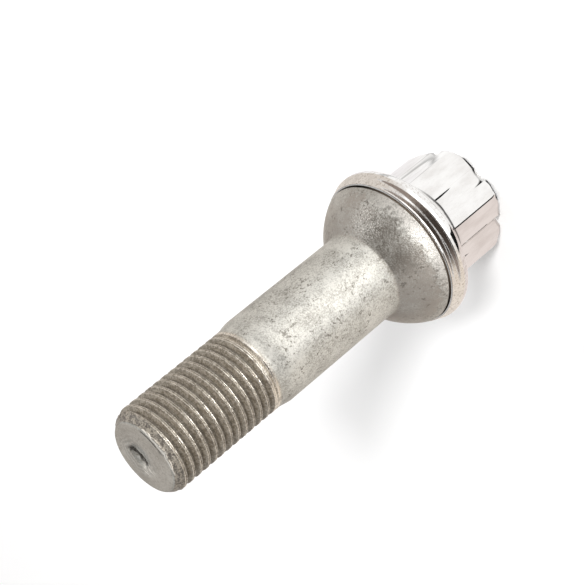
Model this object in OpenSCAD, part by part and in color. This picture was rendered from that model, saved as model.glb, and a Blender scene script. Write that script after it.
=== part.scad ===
// Wheel bolt with a ball seat and a drawn sheet cap crimped over its head.
// It stands on its head: z = 0 is the outside of the cap's end, and the thread points up.
// The forging and the cap share one head form, each at its own offset inwards from the
// cap's outer face, so the cap keeps the same wall and the same gap all over.

/* [Thread and tip] */
// Diameter over the thread's crests
thread_d = 13.9; // [12:0.1:14.4]
// Length of the threaded end, from the tip back to the taper
thread_len = 21.3; // [12:0.1:30]
// Length of the chamfer at the tip, along the axis
tip_chamfer = 1.35; // [0.8:0.05:2]
// Angle of the chamfer to the axis, in degrees
tip_angle = 35; // [25:1:50]
// Radius between the tip's flat and its chamfer
tip_round = 0.6; // [0.3:0.1:1]
// Diameter of the shallow dish in the middle of the tip
dish_d = 4.2; // [3:0.1:6]
// Depth of the dish
dish_depth = 0.45; // [0.2:0.05:0.8]

/* [Shank] */
// Diameter of the plain shank
shank_d = 14.6; // [14.5:0.1:17.5]
// Length of the taper between thread and shank
taper_len = 1.9; // [1:0.1:3]
// Reach, from where the ball seat leaves the shank to the tip
reach = 46.3; // [36:0.1:60]

/* [Ball seat] */
// Radius of the ball seat
seat_r = 13.5; // [13:0.1:16.5]
// Diameter of the seat's outer edge
seat_edge_d = 24.5; // [22:0.1:25.5]
// Height of the chamfer round the seat's outer edge
seat_edge_h = 0.2; // [0.1:0.05:0.3]
// Radius of the fillet between seat and shank
seat_fillet = 0.6; // [0.3:0.1:1]

/* [Hexagon] */
// Size across the flats of the capped hexagon
hex_af = 17; // [14:0.1:19]
// Height of the flats, from the end to the flange
hex_h = 10.4; // [8:0.1:14]
// How much the turned blank takes off each sharp corner
corner_trim = 0.17; // [0.1:0.01:0.5]
// Bend radius round the end
bend_r = 1.2; // [1:0.1:1.6]
// Radius of the round groove along each flat
groove_r = 1.9; // [1.5:0.1:2.2]
// Depth of the grooves
groove_depth = 0.55; // [0.3:0.05:0.8]
// How far each groove lies clockwise of the middle of its flat, seen from the thread's end
groove_shift = 0.75; // [0:0.05:1]

/* [Flange] */
// Diameter over the capped flange
flange_d = 26.5; // [25:0.1:32]
// Radius of the flange's rounded rim
rim_r = 1.9; // [1.5:0.1:2.2]
// Angle between the dome's face and the axis, in degrees, counted from the rim's equator
dome_angle = 50; // [45:1:55]
// Angle that the skirt leans in towards the seat, in degrees
skirt_angle = 21; // [15:1:24]
// Height of the skirt, from the rim's equator to the rolled lip
skirt_h = 2.05; // [1.6:0.05:2.5]

/* [Cap] */
// Thickness of the cap's sheet
cap_t = 0.4; // [0.3:0.02:0.5]
// Clearance between the cap and the forging inside it
cap_fit = 0.05; // [0.02:0.01:0.1]
// How far the rolled lip at the cap's open edge stands proud of the sheet
lip_roll = 0.03; // [0.02:0.01:0.1]
// Open seam between the rolled lip and the seat's edge
seam_gap = 0.25; // [0.1:0.05:0.4]
// Depth of the neck in the forging behind the seam
seam_depth = 0.3; // [0.2:0.05:0.5]

/* [Hidden] */
$fn = 72;

FLATS = 6;
flat_angle = 360 / FLATS;
corner_d = hex_af / cos(flat_angle / 2) - 2 * corner_trim;
// Rim: the circle whose outside is the flange's edge
rim_centre_r = flange_d / 2 - rim_r;
dome_foot_r = rim_centre_r + rim_r * cos(dome_angle);
dome_foot_z = hex_h + (dome_foot_r - hex_af / 2) / tan(dome_angle);
rim_z = dome_foot_z + rim_r * sin(dome_angle);
// Lip, neck and seat follow each other up the bolt
lip_r = cap_t / 2 + lip_roll;
lip_z = rim_z + skirt_h;
neck_z = lip_z - lip_r - cap_fit;
seat_z = lip_z + lip_r + seam_gap;
// The seat's ball is centred on the axis
seat_edge_r = seat_edge_d / 2;
ball_z = seat_z + seat_edge_h - sqrt(pow(seat_r, 2) - pow(seat_edge_r, 2));
shank_z = ball_z + sqrt(pow(seat_r, 2) - pow(shank_d / 2, 2));
tip_z = shank_z + reach;
taper_z = tip_z - thread_len;
// Sphere that sinks the dish into the tip
dish_r = (pow(dish_d / 2, 2) + pow(dish_depth, 2)) / (2 * dish_depth);

// Radius of the skirt's face at a height, at an offset inwards from the cap's outside
function skirt_at(z, off) =
    rim_centre_r + (rim_r - off) * cos(skirt_angle)
    - (z - rim_z - (rim_r - off) * sin(skirt_angle)) * tan(skirt_angle);

// Bar across one pair of flats, with the bend radius along its two lower edges
module bent_bar(off) {
    r = bend_r - off;
    w = hex_af / 2 - off;
    rotate([90, 0, 0])
        linear_extrude(2 * hex_af, center = true) {
            translate([-w, off + r]) square([2 * w, rim_z - off - r]);
            translate([-w + r, off]) square([2 * (w - r), rim_z - off]);
            for (side = [-1, 1])
                translate([side * (w - r), off + r]) circle(r);
        }
}

// The hexagon with its grooves, from the end up into the flange
module hex_form(off) {
    difference() {
        intersection() {
            rotate(0.5 * flat_angle) bent_bar(off);
            rotate(1.5 * flat_angle) bent_bar(off);
            rotate(2.5 * flat_angle) bent_bar(off);
            cylinder(h = rim_z, r = corner_d / 2 - off);
        }
        for (i = [0 : FLATS - 1])
            rotate((i + 0.5) * flat_angle)
                translate([hex_af / 2 + groove_r - groove_depth, -groove_shift, -1])
                    cylinder(h = rim_z + 2, r = groove_r + off);
    }
}

// The flange: dome, rounded rim and skirt, turned as one profile
module flange_form(off, top) {
    r = rim_r - off;
    foot = [rim_centre_r + r * cos(dome_angle), rim_z - r * sin(dome_angle)];
    waist = [rim_centre_r + r * cos(skirt_angle), rim_z + r * sin(skirt_angle)];
    rotate_extrude() {
        polygon([
            [0, foot[1] - foot[0] / tan(dome_angle)],
            foot,
            [rim_centre_r, rim_z],
            waist,
            [skirt_at(top, off), top],
            [0, top]
        ]);
        translate([rim_centre_r, rim_z]) circle(r, $fn = 48);
    }
}

// Whole head at an offset inwards from the cap's outside, cut off at a height in the skirt
module head_form(off, top) {
    hex_form(off);
    flange_form(off, top);
}

// Turned part of the forging: neck, ball seat, shank, taper, thread and chamfered tip
module stem_profile() {
    neck_r = skirt_at(neck_z, cap_t + cap_fit) - seam_depth;
    shank_r = shank_d / 2;
    thread_r = thread_d / 2;
    // Neck behind the seam and the seat's chamfered edge
    translate([0, rim_z]) square([neck_r, seat_z - rim_z + seat_edge_h]);
    polygon([
        [0, seat_z],
        [seat_edge_r - seat_edge_h, seat_z],
        [seat_edge_r, seat_z + seat_edge_h],
        [0, seat_z + seat_edge_h]
    ]);
    // Ball seat
    intersection() {
        translate([0, ball_z]) circle(seat_r);
        translate([0, seat_z + seat_edge_h]) square([seat_edge_r, seat_r]);
    }
    // Fillet that runs the seat into the shank
    fillet_c = [shank_r + seat_fillet,
        ball_z + sqrt(pow(seat_r + seat_fillet, 2) - pow(shank_r + seat_fillet, 2))];
    share = seat_r / (seat_r + seat_fillet);
    difference() {
        polygon([
            [shank_r, fillet_c[1]],
            fillet_c,
            [fillet_c[0] * share, ball_z + (fillet_c[1] - ball_z) * share],
            [shank_r - seat_fillet, shank_z - seat_fillet]
        ]);
        translate(fillet_c) circle(seat_fillet);
    }
    // Shank, taper and thread
    flat_r = thread_r - tip_chamfer * tan(tip_angle) - tip_round * tan((90 - tip_angle) / 2);
    round_c = [flat_r, tip_z - tip_round];
    polygon([
        [0, seat_z],
        [shank_r, seat_z],
        [shank_r, taper_z - taper_len],
        [thread_r, taper_z],
        [thread_r, tip_z - tip_chamfer],
        round_c + tip_round * [cos(tip_angle), sin(tip_angle)],
        round_c,
        [flat_r, tip_z],
        [0, tip_z]
    ]);
    translate(round_c) circle(tip_round);
}

module bolt() {
    color("#b6b1a8")
        difference() {
            union() {
                head_form(cap_t + cap_fit, neck_z);
                rotate_extrude() stem_profile();
            }
            translate([0, 0, tip_z - dish_depth + dish_r]) sphere(dish_r);
        }
}

module head_cap() {
    color("#e4e2df") {
        difference() {
            head_form(0, lip_z);
            head_form(cap_t, lip_z + 1);
        }
        translate([0, 0, lip_z])
            rotate_extrude()
                translate([skirt_at(lip_z, cap_t / 2), 0]) circle(lip_r, $fn = 24);
    }
}

bolt();
head_cap();
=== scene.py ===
"""Looks of a wheel bolt with a ball seat and a drawn sheet cap crimped over its head.

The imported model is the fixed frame, in metres. Shapes are worked out here in
millimetres and scaled as the meshes are made. The bolt stands on its head, z = 0 is the
outside of the cap's end, and the thread points up. Angles are in degrees where a field
holds them, and azimuths are counted from the x axis.
"""

import logging
import math
from dataclasses import dataclass, field
from enum import Enum
from functools import cached_property

import bmesh
import bpy
import numpy as np
from mathutils import Matrix, Vector


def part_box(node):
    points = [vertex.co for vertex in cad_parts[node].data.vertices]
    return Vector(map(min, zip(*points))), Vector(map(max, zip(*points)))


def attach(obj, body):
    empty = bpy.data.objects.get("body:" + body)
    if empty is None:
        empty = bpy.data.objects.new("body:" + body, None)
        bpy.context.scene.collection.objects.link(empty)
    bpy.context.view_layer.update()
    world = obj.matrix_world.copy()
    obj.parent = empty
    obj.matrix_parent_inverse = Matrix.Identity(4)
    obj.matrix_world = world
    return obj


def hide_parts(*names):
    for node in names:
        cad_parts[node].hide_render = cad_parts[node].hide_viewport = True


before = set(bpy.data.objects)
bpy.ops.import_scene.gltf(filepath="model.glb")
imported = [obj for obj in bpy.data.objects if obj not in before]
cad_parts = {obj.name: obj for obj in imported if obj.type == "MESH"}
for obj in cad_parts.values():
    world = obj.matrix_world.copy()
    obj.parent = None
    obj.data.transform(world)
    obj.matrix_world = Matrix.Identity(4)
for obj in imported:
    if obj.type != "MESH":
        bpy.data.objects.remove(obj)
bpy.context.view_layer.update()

MM = 0.001
LOG = logging.getLogger("wheel_bolt")
HALF_SIDE = 30.0
WELD_DISTANCE = 2e-7
SHORTEST_EDGE = 1e-7
SHIFT_PARTS = (1.0, 0.7, 1.3)
Socket = bpy.types.NodeSocket


class Slot(Enum):
    """The record's material slots."""

    COATED_STEEL = "coated_steel"
    POLISHED_CAP = "polished_cap"


class Node(Enum):
    """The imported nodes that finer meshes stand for."""

    BOLT = "bolt"
    HEAD_CAP = "head_cap"


class Card(Enum):
    """The two reflector cards that lie round the head, one round the other."""

    NEAR = "near_card"
    FAR = "far_card"


@dataclass(frozen=True)
class Fade:
    """A soft change over a range of a value: start at low, end at high, where low may be the larger."""

    low: float
    high: float
    start: float = 0.0
    end: float = 1.0

    def at(self, x: np.ndarray) -> np.ndarray:
        """Reads the fade.

        Args:
            x: Where to read it.

        Returns:
            Its strength at each x.
        """
        t = np.clip((x - self.low) / (self.high - self.low), 0.0, 1.0)
        return self.start + (self.end - self.start) * t * t * (3.0 - 2.0 * t)


@dataclass(frozen=True)
class Wave:
    """A sine wave, with its height, its radians for each unit and its lead."""

    height: float
    rate: float
    lead: float = 0.0

    def at(self, x: np.ndarray) -> np.ndarray:
        """Height of the wave at each x."""
        return self.height * np.sin(x * self.rate + self.lead)


@dataclass(frozen=True)
class Ripple:
    """Uneven ripples over a turned surface, the same ones each time.

    They have at most `around` waves in one turn, and `along` over two pi in a millimetre.
    """

    around: float
    along: float
    seed: int
    waves: int = 9
    least: float = 0.35
    whole_turn: float = 6.28
    ease: float = 4.0

    def at(self, turns: np.ndarray, z: np.ndarray) -> np.ndarray:
        """Reads the ripples.

        Args:
            turns: Angles round the axis, in radians.
            z: Distances along the surface, in millimetres.

        Returns:
            Heights of about -1 to 1.
        """
        rng = np.random.default_rng(self.seed)
        total = np.zeros(np.broadcast(turns, z).shape)
        for _ in range(self.waves):
            around = round(rng.uniform(self.least, 1.0) * self.around) * rng.choice([-1, 1])
            along = rng.uniform(self.least, 1.0) * self.along
            total += np.sin(around * turns + along * z + rng.uniform(0.0, self.whole_turn))
        return total / self.ease


def bell(x: np.ndarray, half: float) -> np.ndarray:
    """Bell-shaped bump of height 1 over x = 0, where half is its half width."""
    return np.exp(-((x / half) ** 2))


def beside(angle: np.ndarray, azimuth: float, spread: float) -> np.ndarray:
    """Bell over one side of the bolt.

    Args:
        angle: Angles round the axis, in radians.
        azimuth: The bell's middle, in degrees.
        spread: Its half width, in degrees.

    Returns:
        Heights of 0 to 1.
    """
    return bell((np.degrees(angle) - azimuth + 180.0) % 360.0 - 180.0, spread)


def arc(centre: tuple[float, float], radius: float, start: float, end: float, count: int) -> list:
    """Points along an arc of a profile.

    Args:
        centre: The arc's centre, as radius and height.
        radius: The arc's radius.
        start: Angle of the first point from the outward direction, in degrees.
        end: Angle of the last point, in degrees.
        count: Number of points.

    Returns:
        The points, as pairs of radius and height.
    """
    return [
        (centre[0] + radius * math.cos(a), centre[1] + radius * math.sin(a))
        for a in np.radians(np.linspace(start, end, count))
    ]


def line(start: tuple[float, float], end: tuple[float, float], count: int) -> list:
    """Points along a straight stretch of a profile.

    Args:
        start: The end that is left out, as radius and height.
        end: The end that is kept.
        count: Number of points.

    Returns:
        The points, as pairs of radius and height.
    """
    return [
        (start[0] + (end[0] - start[0]) * t, start[1] + (end[1] - start[1]) * t)
        for t in np.linspace(0.0, 1.0, count + 1)[1:]
    ]


def ring(radius: np.ndarray, z: np.ndarray, angles: np.ndarray) -> np.ndarray:
    """A closed ring of points round the axis.

    Args:
        radius: One radius, or one for each point, in millimetres.
        z: One height, or one for each point.
        angles: Where the points lie, in radians.

    Returns:
        One row a point, as x, y and z.
    """
    height = np.broadcast_to(z, len(angles))
    return np.column_stack([radius * np.cos(angles), radius * np.sin(angles), height])


def plate(outline: np.ndarray, scale: np.ndarray, z: np.ndarray) -> np.ndarray:
    """A closed ring of points that follows the hexagon's outline.

    Args:
        outline: One row a point, as x and y.
        scale: One scale, or one for each point.
        z: One height, or one for each point.

    Returns:
        One row a point, as x, y and z.
    """
    height = np.broadcast_to(z, len(outline))
    return np.column_stack([outline * np.reshape(scale, (-1, 1)), height])


@dataclass(frozen=True)
class HeadForm:
    """Outside of the capped head, which the cap and the core under it are both made from."""

    across_flats: float = 17.0
    hex_height: float = 10.4
    corner_radius: float = 0.75
    bend_radius: float = 1.2
    corner_bend: float = 1.0
    corner_start: float = 0.35
    foot_radius: float = 0.45
    groove_radius: float = 1.9
    groove_depth: float = 0.55
    groove_shift: float = 0.75
    groove_edge_radius: float = 0.3
    lobe_crown: float = 0.05
    flange_diameter: float = 26.5
    rim_radius: float = 1.9
    dome_angle: float = 50.0
    skirt_angle: float = 21.0
    skirt_height: float = 2.05
    sheet: float = 0.4
    cap_fit: float = 0.05
    lip_radius: float = 0.23
    seam_gap: float = 0.25
    corner_points: int = 7
    lobe_points: int = 14
    edge_points: int = 6
    groove_points: int = 17

    @property
    def apothem(self) -> float:
        """Distance from the axis to a flat."""
        return self.across_flats / 2.0

    @property
    def rim_centre_r(self) -> float:
        """Radius of the circle that the rim's section is centred on."""
        return self.flange_diameter / 2.0 - self.rim_radius

    @property
    def dome_slope(self) -> float:
        """Rise of the dome's face for each millimetre outwards."""
        return 1.0 / math.tan(math.radians(self.dome_angle))

    @property
    def rim_z(self) -> float:
        """Height of the rim's widest circle."""
        angle = math.radians(self.dome_angle)
        foot_r = self.rim_centre_r + self.rim_radius * math.cos(angle)
        foot_z = self.hex_height + (foot_r - self.apothem) * self.dome_slope
        return foot_z + self.rim_radius * math.sin(angle)

    @property
    def lip_z(self) -> float:
        """Height of the rolled lip's centre."""
        return self.rim_z + self.skirt_height

    @property
    def neck_z(self) -> float:
        """Height of the core's shoulder under the lip."""
        return self.lip_z - self.lip_radius - self.cap_fit

    def skirt_at(self, z: float, off: float) -> float:
        """Radius of the skirt's face.

        Args:
            z: Height on the skirt.
            off: Offset inwards from the outside.

        Returns:
            The radius there.
        """
        angle = math.radians(self.skirt_angle)
        reach = self.rim_radius - off
        waist = self.rim_centre_r + reach * math.cos(angle)
        return waist - (z - self.rim_z - reach * math.sin(angle)) * math.tan(angle)

    def dome_z(self, reach: np.ndarray, off: float) -> np.ndarray:
        """Height at which the dome meets a wall.

        Args:
            reach: Distance of the wall from the axis.
            off: Offset inwards from the outside.

        Returns:
            The height there.
        """
        return self.hex_height + (reach - self.apothem + off) * self.dome_slope

    def end_bend(self, reach: np.ndarray) -> np.ndarray:
        """Bend round the end, wider at the hexagon's corners.

        Args:
            reach: Distance of the hexagon's outline from the axis.

        Returns:
            The bend's radius there.
        """
        corner = (self.apothem - self.corner_radius) / math.cos(math.radians(HALF_SIDE)) + self.corner_radius
        wider = Fade(self.apothem + self.corner_start, corner, 0.0, self.corner_bend)
        return self.bend_radius + wider.at(reach)

    def flat_profile(self) -> np.ndarray:
        """Outline of one flat, from the middle of one corner to the middle of the next.

        Returns:
            Points as distance along the flat and distance from the axis.
        """
        apothem, corner, edge = self.apothem, self.corner_radius, self.groove_edge_radius
        corner_h = apothem - corner
        corner_w = corner_h * math.tan(math.radians(HALF_SIDE))
        groove_h = apothem + self.groove_radius - self.groove_depth
        reach, rise = self.groove_radius + edge, groove_h - apothem + edge
        edge_w = math.sqrt(reach ** 2 - rise ** 2)
        turn = math.degrees(math.acos(rise / reach))
        left, right = -self.groove_shift - edge_w, -self.groove_shift + edge_w
        edge_h = apothem - edge
        points = arc((-corner_w, corner_h), corner, 90.0 + HALF_SIDE, 90.0, self.corner_points)
        points += line(points[-1], (left, apothem), self.lobe_points)[:-1]
        points += arc((left, edge_h), edge, 90.0, 90.0 - turn, self.edge_points)
        points += arc((-self.groove_shift, groove_h), self.groove_radius, 270.0 - turn, 270.0 + turn,
                      self.groove_points)[1:-1]
        points += arc((right, edge_h), edge, 90.0 + turn, 90.0, self.edge_points)
        points += line(points[-1], (corner_w, apothem), self.lobe_points)[:-1]
        points += arc((corner_w, corner_h), corner, 90.0, 90.0 - HALF_SIDE, self.corner_points)[:-1]
        outline = np.array(points)
        for low, high in ((-corner_w, left), (right, corner_w)):
            middle, half = (low + high) / 2.0, (high - low) / 2.0
            across = np.clip((outline[:, 0] - middle) / half, -1.0, 1.0)
            outline[:, 1] -= self.lobe_crown * across ** 2 * (np.abs(across) < 1.0)
        return outline

    def outline(self) -> np.ndarray:
        """Outline of the grooved hexagon, counterclockwise seen from the thread's end.

        Returns:
            One row a point, as x and y.
        """
        flat = self.flat_profile()
        sides = []
        for side in range(6):
            normal = math.radians(HALF_SIDE * (1 + 2 * side))
            out = np.array([math.cos(normal), math.sin(normal)])
            along = np.array([-out[1], out[0]])
            sides.append(flat[:, 1:2] * out + flat[:, 0:1] * along)
        return np.vstack(sides)


@dataclass
class RingSkin:
    """A closed skin over a stack of rings that all have as many points."""

    points: list = field(default_factory=list)
    faces: list = field(default_factory=list)
    last: int = -1
    count: int = 0

    def start(self, centre: tuple[float, float, float], first: np.ndarray) -> None:
        """Closes the first ring with a fan.

        Args:
            centre: The fan's middle, in millimetres.
            first: The first ring's points.
        """
        self.count = len(first)
        self.points += [np.array([centre]), first]
        self.last = 1
        for j in range(self.count):
            self.faces.append((0, 1 + (j + 1) % self.count, 1 + j))

    def add(self, points: np.ndarray) -> None:
        """Joins one more ring to the last.

        Args:
            points: The ring's points.
        """
        new = self.last + self.count
        for j in range(self.count):
            k = (j + 1) % self.count
            self.faces.append((self.last + j, self.last + k, new + k, new + j))
        self.points.append(points)
        self.last = new

    def add_helical(self, rows: np.ndarray, lag: int) -> None:
        """Joins rows that climb by a number of rows in one turn.

        Args:
            rows: Rows of ring points; the first and the last row are level rings.
            lag: How many rows the turn climbs.
        """
        self.add(rows[0])
        self.points += list(rows[1:])
        first, top, seam = self.last, len(rows) - 1, self.count - 1
        for j in range(seam):
            for i in range(top):
                a = first + i * self.count + j
                self.faces.append((a, a + 1, a + 1 + self.count, a + self.count))
        for i in range(-lag, top):
            low, high = max(i, 0), max(i + 1, 0)
            next_low, next_high = min(i + lag, top), min(i + 1 + lag, top)
            left, right = first + seam, first
            self.faces.append((left + low * self.count, right + next_low * self.count,
                               right + next_high * self.count, left + high * self.count))
        self.last = first + top * self.count

    def finish(self, centre: tuple[float, float, float], name: str, sharp: float) -> bpy.types.Object:
        """Closes the last ring with a fan and makes the object.

        Args:
            centre: The fan's middle, in millimetres.
            name: The piece's name.
            sharp: Edges that turn by more than this many degrees stay sharp.

        Returns:
            The new piece, linked to the scene.
        """
        points = np.vstack(self.points + [np.array([centre])]) * MM
        tip = len(points) - 1
        for j in range(self.count):
            self.faces.append((self.last + j, self.last + (j + 1) % self.count, tip))
        faces = [tuple(dict.fromkeys(f)) for f in self.faces]
        mesh = bpy.data.meshes.new(name)
        mesh.from_pydata(points.tolist(), [], [f for f in faces if len(f) > 2])
        bm = bmesh.new()
        bm.from_mesh(mesh)
        bmesh.ops.remove_doubles(bm, verts=bm.verts, dist=WELD_DISTANCE)
        bmesh.ops.dissolve_degenerate(bm, edges=bm.edges, dist=SHORTEST_EDGE)
        bmesh.ops.recalc_face_normals(bm, faces=bm.faces)
        bm.to_mesh(mesh)
        bm.free()
        mesh.shade_smooth()
        mesh.set_sharp_from_angle(angle=math.radians(sharp))
        piece = bpy.data.objects.new(name, mesh)
        bpy.context.collection.objects.link(piece)
        return piece


@dataclass(frozen=True)
class Burr:
    """Burr that the torn first crest leaves on the edge of the tip's face, and the crease inside it."""

    height: float = 0.36
    azimuth: float = -106.0
    spread: float = 30.0
    down: float = 0.24
    half: float = 0.14
    wander: float = 0.07
    wander_ripple: Ripple = Ripple(26.0, 1.0, 11)
    uneven: float = 0.4
    uneven_ripple: Ripple = Ripple(40.0, 1.0, 13)
    on_face: Fade = Fade(0.0, 0.06)
    crease_in: float = 0.18
    crease_half: float = 0.1
    crease_depth: float = 0.13
    crease_spread: float = 24.0

    def at(self, angle: np.ndarray, down: np.ndarray) -> np.ndarray:
        """Reads how far the burr stands out.

        Args:
            angle: Angles round the axis, in radians.
            down: Distance below the tip.

        Returns:
            The burr's height at each place.
        """
        level = 0.0 * angle
        off = down - self.down + self.wander * self.wander_ripple.at(angle, level)
        height = self.height * (1.0 + self.uneven * self.uneven_ripple.at(angle, level))
        return height * bell(off, self.half) * beside(angle, self.azimuth, self.spread)

    def crease(self, angle: np.ndarray, inside: float) -> np.ndarray:
        """Reads the depth of the crease.

        Args:
            angle: Angles round the axis, in radians.
            inside: Distance inwards from the edge of the tip's face.

        Returns:
            The depth at each angle.
        """
        shape = bell(self.crease_in - inside, self.crease_half)
        return self.crease_depth * shape * beside(angle, self.azimuth, self.crease_spread)


@dataclass(frozen=True)
class Dish:
    """The crooked dish in the tip, the faint rings round it and the torn fold in its middle."""

    diameter: float = 4.2
    depth: float = 0.42
    place: tuple = (0.35, 0.45)
    wall: Fade = Fade(0.25, -0.75)
    worked: float = 2.15
    crooked: tuple = (Wave(0.05, 2.0, 0.4), Wave(0.03, 5.0))
    rings: Wave = Wave(0.03, 11.0)
    rings_end: Fade = Fade(1.1, 0.0)
    rings_start: Fade = Fade(0.9, 1.5)
    fold_place: tuple = (0.62, 1.05)
    fold_turn: float = 174.3
    fold_depth: float = 0.62
    fold_shift: float = 0.1
    fold_taper: Fade = Fade(2.2, 0.6)
    fold_half: float = 0.12
    fold_spread: float = 0.18
    fold_wander: tuple = (Wave(0.1, 3.3, 0.6), Wave(0.05, 8.7))
    fold_least: float = 0.8
    fold_uneven: Wave = Wave(0.2, 7.3, 1.0)
    scratch_depth: float = 0.12
    scratch_half: float = 0.12
    scratch_off: float = 0.55
    scratch_shift: float = 0.7
    scratch_taper: Fade = Fade(1.2, 0.4)

    def at(self, points: np.ndarray) -> np.ndarray:
        """Reads the depth of the dish and its marks.

        Args:
            points: Where to read it.

        Returns:
            The depth at each point.
        """
        fold = math.radians(self.fold_turn)
        x, y = points[:, 0] - self.fold_place[0], points[:, 1] - self.fold_place[1]
        along = x * math.cos(fold) + y * math.sin(fold)
        across = -x * math.sin(fold) + y * math.cos(fold)
        across = across - self.fold_wander[0].at(along) - self.fold_wander[1].at(along)
        x, y = points[:, 0] - self.place[0], points[:, 1] - self.place[1]
        turn, edge = np.arctan2(y, x), self.diameter / 2.0
        uneven = np.hypot(x, y) * (1.0 + self.crooked[0].at(turn) + self.crooked[1].at(turn))
        depth = self.depth * self.wall.at(uneven - edge)
        depth += self.rings.at(uneven) * self.rings_end.at(uneven - edge) * self.rings_start.at(uneven)
        depth += (self.scratch_depth * bell(across + self.scratch_off, self.scratch_half)
                  * self.scratch_taper.at(np.abs(along + self.scratch_shift)))
        taper = self.fold_taper.at(np.abs(along - self.fold_shift))
        torn = self.fold_depth * bell(across, self.fold_half + self.fold_spread * taper) * taper
        return depth + torn * (self.fold_least + self.fold_uneven.at(along))


@dataclass(frozen=True)
class RolledThread:
    """The rolled thread, with the double line along its crests, its run-out and its nicks."""

    diameter: float = 13.9
    length: float = 21.3
    pitch: float = 1.5
    depth: float = 0.74
    flank_angle: float = 30.0
    flank_round: float = 0.03
    crest_half: float = 0.21
    crest_seam_depth: float = 0.1
    crest_seam_half: float = 0.09
    first_crest: float = 1.43
    crest_turn: float = 100.7
    rows_a_pitch: int = 24
    start: Fade = Fade(0.35, 1.7)
    run_out: Fade = Fade(20.5, 18.6)
    nick_depth: float = 0.045
    nick_least: float = 0.15
    nicks: Ripple = Ripple(60.0, 9.0, 3)

    def off_crest(self, down: np.ndarray, angle: np.ndarray) -> np.ndarray:
        """Measures the distance to the nearest crest along the bolt.

        Args:
            down: Distance below the tip.
            angle: Angles round the axis, in radians.

        Returns:
            The distance at each place.
        """
        phase = (down - self.first_crest) / self.pitch + (np.degrees(angle) + self.crest_turn) / 360.0
        return np.abs(phase - np.round(phase)) * self.pitch

    def radius(self, z: np.ndarray, down: np.ndarray, angle: np.ndarray) -> np.ndarray:
        """Works out the radius of the cut thread.

        Args:
            z: Heights.
            down: Distance below the tip at each height.
            angle: Angles round the axis, in radians.

        Returns:
            The radius at each place.
        """
        off, soft = self.off_crest(down, angle), self.flank_round
        flank = (off - self.crest_half) / math.tan(math.radians(self.flank_angle))
        sunk = soft * np.logaddexp(0.0, flank / soft)
        sunk = self.depth - soft * np.logaddexp(0.0, (self.depth - sunk) / soft)
        seam = self.crest_seam_depth * bell(off, self.crest_seam_half)
        nicks = self.nick_depth * np.maximum(self.nicks.at(angle, z) - self.nick_least, 0.0)
        sunk = np.maximum(sunk, 0.0) + seam + nicks
        return self.diameter / 2.0 - sunk * self.start.at(down) * self.run_out.at(down)


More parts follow.
